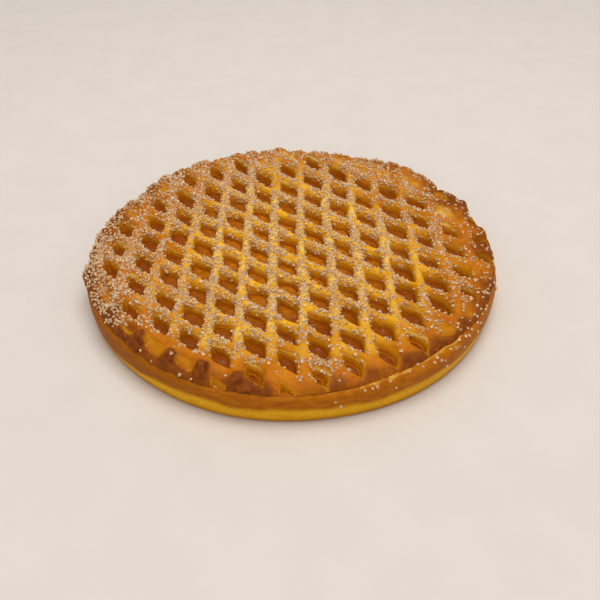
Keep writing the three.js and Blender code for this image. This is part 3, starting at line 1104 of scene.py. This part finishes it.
def scattered(triangles, chance, count, spacing, draws):
    """Random places on triangles, no two closer than spacing."""
    picked = draws.choice(len(chance), tries_each * count, p=chance / chance.sum())
    weights = draws.dirichlet((1, 1, 1), len(picked))
    spots = np.einsum("nk,nkc->nc", weights, triangles[picked])
    kept = []
    taken = {}
    for index, spot in enumerate(spots):
        square = (int(spot[0] // spacing), int(spot[1] // spacing))
        near = [
            other
            for across in (-1, 0, 1)
            for along in (-1, 0, 1)
            for other in taken.get((square[0] + across, square[1] + along), ())
        ]
        if all(np.hypot(*(spots[other] - spot)[:2]) > spacing for other in near):
            taken.setdefault(square, []).append(index)
            kept.append(index)
        if len(kept) == count:
            break
    return spots[kept]


def turns(count, draws):
    """Random rotation matrices, even over all directions."""
    spins = draws.normal(size=(4, count))
    w, x, y, z = spins / np.linalg.norm(spins, axis=0)
    rows = [
        [1 - 2 * (y * y + z * z), 2 * (x * y - z * w), 2 * (x * z + y * w)],
        [2 * (x * y + z * w), 1 - 2 * (x * x + z * z), 2 * (y * z - x * w)],
        [2 * (x * z - y * w), 2 * (y * z + x * w), 1 - 2 * (x * x + y * y)],
    ]
    return np.transpose(np.array(rows), (2, 0, 1))


def crystals(name, spots, small, large, draws, material):
    """Uneven little blocks as one mesh, each half sunk in the dough and inside the pie's box."""
    count = len(spots)
    corners = np.array([(x, y, z) for x in (-0.5, 0.5) for y in (-0.5, 0.5) for z in (-0.5, 0.5)])
    sizes = draws.uniform(small, large, (count, 1, 1)) * draws.uniform(*side_stray, (count, 1, 3))
    blocks = corners[None] * sizes * draws.uniform(*corner_stray, (count, len(corners), 1))
    blocks = np.einsum("nij,nkj->nki", turns(count, draws), blocks)
    reach = np.abs(blocks).max(axis=1)
    lowest = mm_per_metre * np.array(cad_low) + reach
    highest = mm_per_metre * np.array(cad_high) - reach
    centres = np.clip(spots, lowest, highest)
    sides = np.array([(0, 1, 3, 2), (4, 6, 7, 5), (0, 4, 5, 1), (2, 3, 7, 6), (0, 2, 6, 4), (1, 5, 7, 3)])
    faces = (len(corners) * np.arange(count)[:, None, None] + sides).reshape(-1, 4)
    points = (blocks + centres[:, None]).reshape(-1, 3) / mm_per_metre
    mesh = bpy.data.meshes.new(name)
    mesh.from_pydata(points.tolist(), [], faces.tolist())
    mesh.materials.append(material)
    return placed(name, mesh)


def sugar_finish():
    """Pale, translucent crystals, browner where they half melted."""
    constants = {"Roughness": 0.3, "Subsurface Weight": 0.9, "Subsurface Radius": (0.0014, 0.0011, 0.0008)}
    finish = Finish("coarse_sugar", constants)
    melted = finish.grain(1.4, 1)
    finish.feed(Base_Color=finish.mix(melted, tone(190, 152, 108), tone(228, 196, 154)))
    return finish.material


draws = np.random.default_rng(sugar_seed)
sugar = sugar_finish()
grain_places = [
    lattice_places(grain_count, grain_spacing, draws),
    shoulder_places(shoulder_grain_count, shoulder_grain_spacing, draws),
]
sugar_grains = crystals("sugar_grains", np.vstack(grain_places), grain_small, grain_large, draws, sugar)
lump_places = lattice_places(lump_count, lump_spacing, draws)
sugar_lumps = crystals("sugar_lumps", lump_places, lump_small, lump_large, draws, sugar)
for piece in (sugar_grains, sugar_lumps):
    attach(piece, "root")
    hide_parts("lattice_top")

# Stage: a plain pale floor under broad soft light, as in a daylight studio. It is no part of
# the pie. The camera stands in front and looks down on it. Its focal length and the width of
# the picture are in pixels.
floor_radius = 4.0
floor_segments = 64
floor_turn = np.linspace(0, 2 * np.pi, floor_segments, endpoint=False)
floor_points = [(floor_radius * math.cos(turn), floor_radius * math.sin(turn), 0) for turn in floor_turn]
floor_mesh = bpy.data.meshes.new("floor")
floor_mesh.from_pydata(floor_points, [], [list(range(floor_segments))])
floor_finish = Finish("pale_floor", {"Roughness": 0.8})
floor_grain = floor_finish.grain(40, 3)
floor_finish.feed(Base_Color=floor_finish.mix(floor_grain, tone(218, 209, 200), tone(221, 212, 203)))
floor_mesh.materials.append(floor_finish.material)
floor = placed("floor", floor_mesh)

sky_strength = 0.5
sky_colour = (1.0, 0.985, 0.97, 1.0)
lamp_colour = (1.0, 0.985, 0.965)
world = bpy.data.worlds.new("studio")
world.use_nodes = True
world.node_tree.nodes["Background"].inputs["Color"].default_value = sky_colour
world.node_tree.nodes["Background"].inputs["Strength"].default_value = sky_strength
bpy.context.scene.world = world
bpy.context.scene.view_settings.view_transform = "Standard"


def soft_light(name, place, size, watts):
    """A square softbox that faces the pie."""
    data = bpy.data.lights.new(name, "AREA")
    data.size = size
    data.energy = watts
    data.color = lamp_colour
    light = placed(name, data)
    light.location = place
    light.rotation_euler = (-light.location).to_track_quat("-Z", "Y").to_euler()


soft_light("window", (0.15, 0.1, 1.7), 1.2, 18.5)
soft_light("reflector", (-0.5, -1.4, 1.2), 1.4, 4)

camera_place = (0.00612, -0.39992, 0.30907)
camera_elevation = math.radians(39.77)
camera_roll = math.radians(0.63)
picture_width = 600
focal_length = 690.7
camera_data = bpy.data.cameras.new("camera")
camera_data.lens = camera_data.sensor_width * focal_length / picture_width
camera = placed("camera", camera_data)
tilt = Euler((math.pi / 2 - camera_elevation, 0, 0)).to_matrix().to_4x4()
camera.matrix_world = Matrix.Translation(camera_place) @ tilt @ Matrix.Rotation(camera_roll, 4, "Z")
bpy.context.scene.camera = camera
